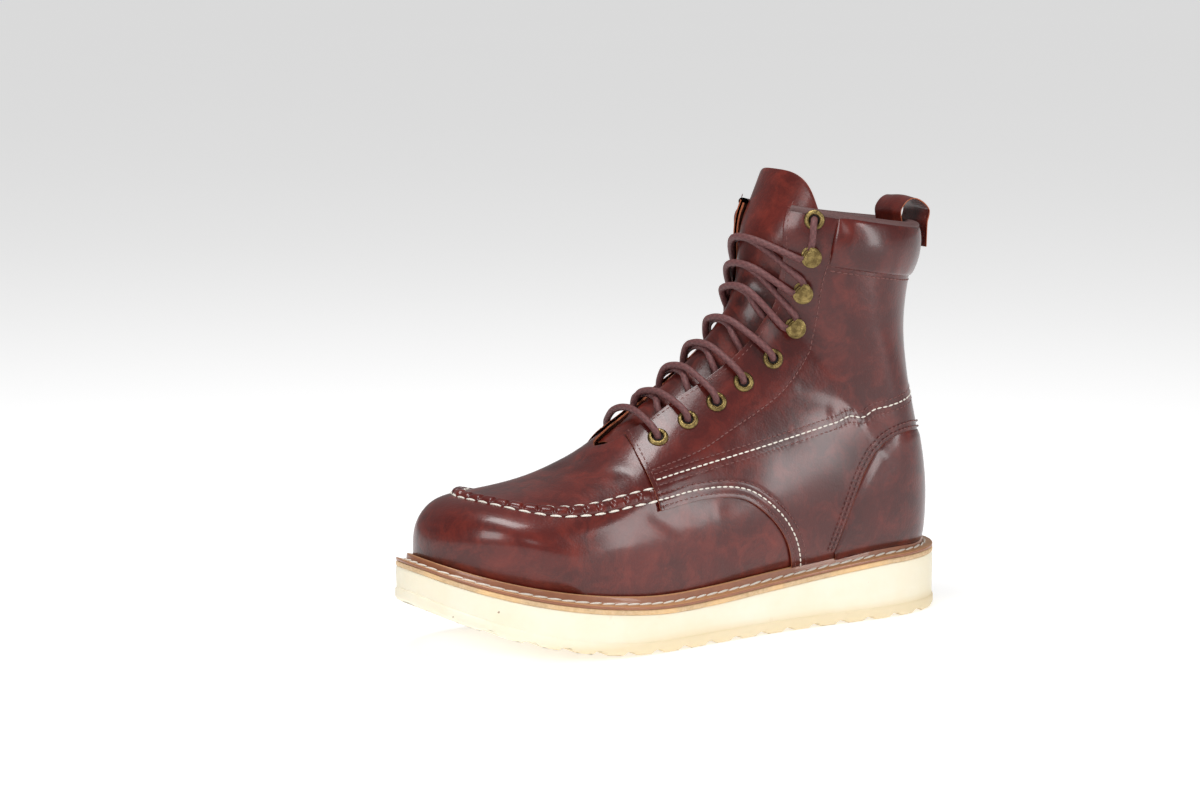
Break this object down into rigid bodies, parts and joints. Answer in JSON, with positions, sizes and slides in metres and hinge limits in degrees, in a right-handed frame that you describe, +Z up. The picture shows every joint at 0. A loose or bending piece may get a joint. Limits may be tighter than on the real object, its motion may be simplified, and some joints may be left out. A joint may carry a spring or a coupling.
{
  "type": "wedge sole work boot",
  "caption": "Lace-up leather work boot for the left foot, with a moc toe, a padded collar and a thick wedge sole, standing empty to be worn or displayed.",
  "frame": {"origin": "on the floor under the heel, on the boot's middle line", "axes": "+Z up, the toe points to -Y and the outer side of the left boot is +X"},
  "size_m": [0.108, 0.306, 0.2338],
  "materials": {
    "upper_leather": "glossy oxblood pull-up leather",
    "lining_leather": "matt",
    "welt_leather": "satin",
    "edge_leather": "natural, satin",
    "sole_foam": "matt cream",
    "antique_brass": "antique, stippled",
    "lace_cord": "waxed round cord"
  },
  "bodies": {
    "root": {"outsole": "sole_foam", "midsole": "edge_leather", "insole": "lining_leather", "welt": "welt_leather", "upper": "upper_leather", "tongue": "upper_leather", "collar_cuff": "upper_leather", "pull_loop": "upper_leather", "eyelet_lateral_1": "antique_brass", "eyelet_lateral_2": "antique_brass", "eyelet_lateral_3": "antique_brass", "eyelet_lateral_4": "antique_brass", "eyelet_lateral_5": "antique_brass", "eyelet_lateral_6": "antique_brass", "hook_lateral_1": "antique_brass", "hook_lateral_2": "antique_brass", "hook_lateral_3": "antique_brass", "lace_upright_lateral": "lace_cord", "eyelet_medial_1": "antique_brass", "eyelet_medial_2": "antique_brass", "eyelet_medial_3": "antique_brass", "eyelet_medial_4": "antique_brass", "eyelet_medial_5": "antique_brass", "eyelet_medial_6": "antique_brass", "hook_medial_1": "antique_brass", "hook_medial_2": "antique_brass", "hook_medial_3": "antique_brass", "lace_upright_medial": "lace_cord", "lace_bar": "lace_cord", "lace_crossing_1": "lace_cord", "lace_crossing_2": "lace_cord", "lace_crossing_3": "lace_cord", "lace_crossing_4": "lace_cord", "lace_crossing_5": "lace_cord", "lace_crossing_6": "lace_cord", "lace_crossing_7": "lace_cord"}
  },
  "joints": []
}
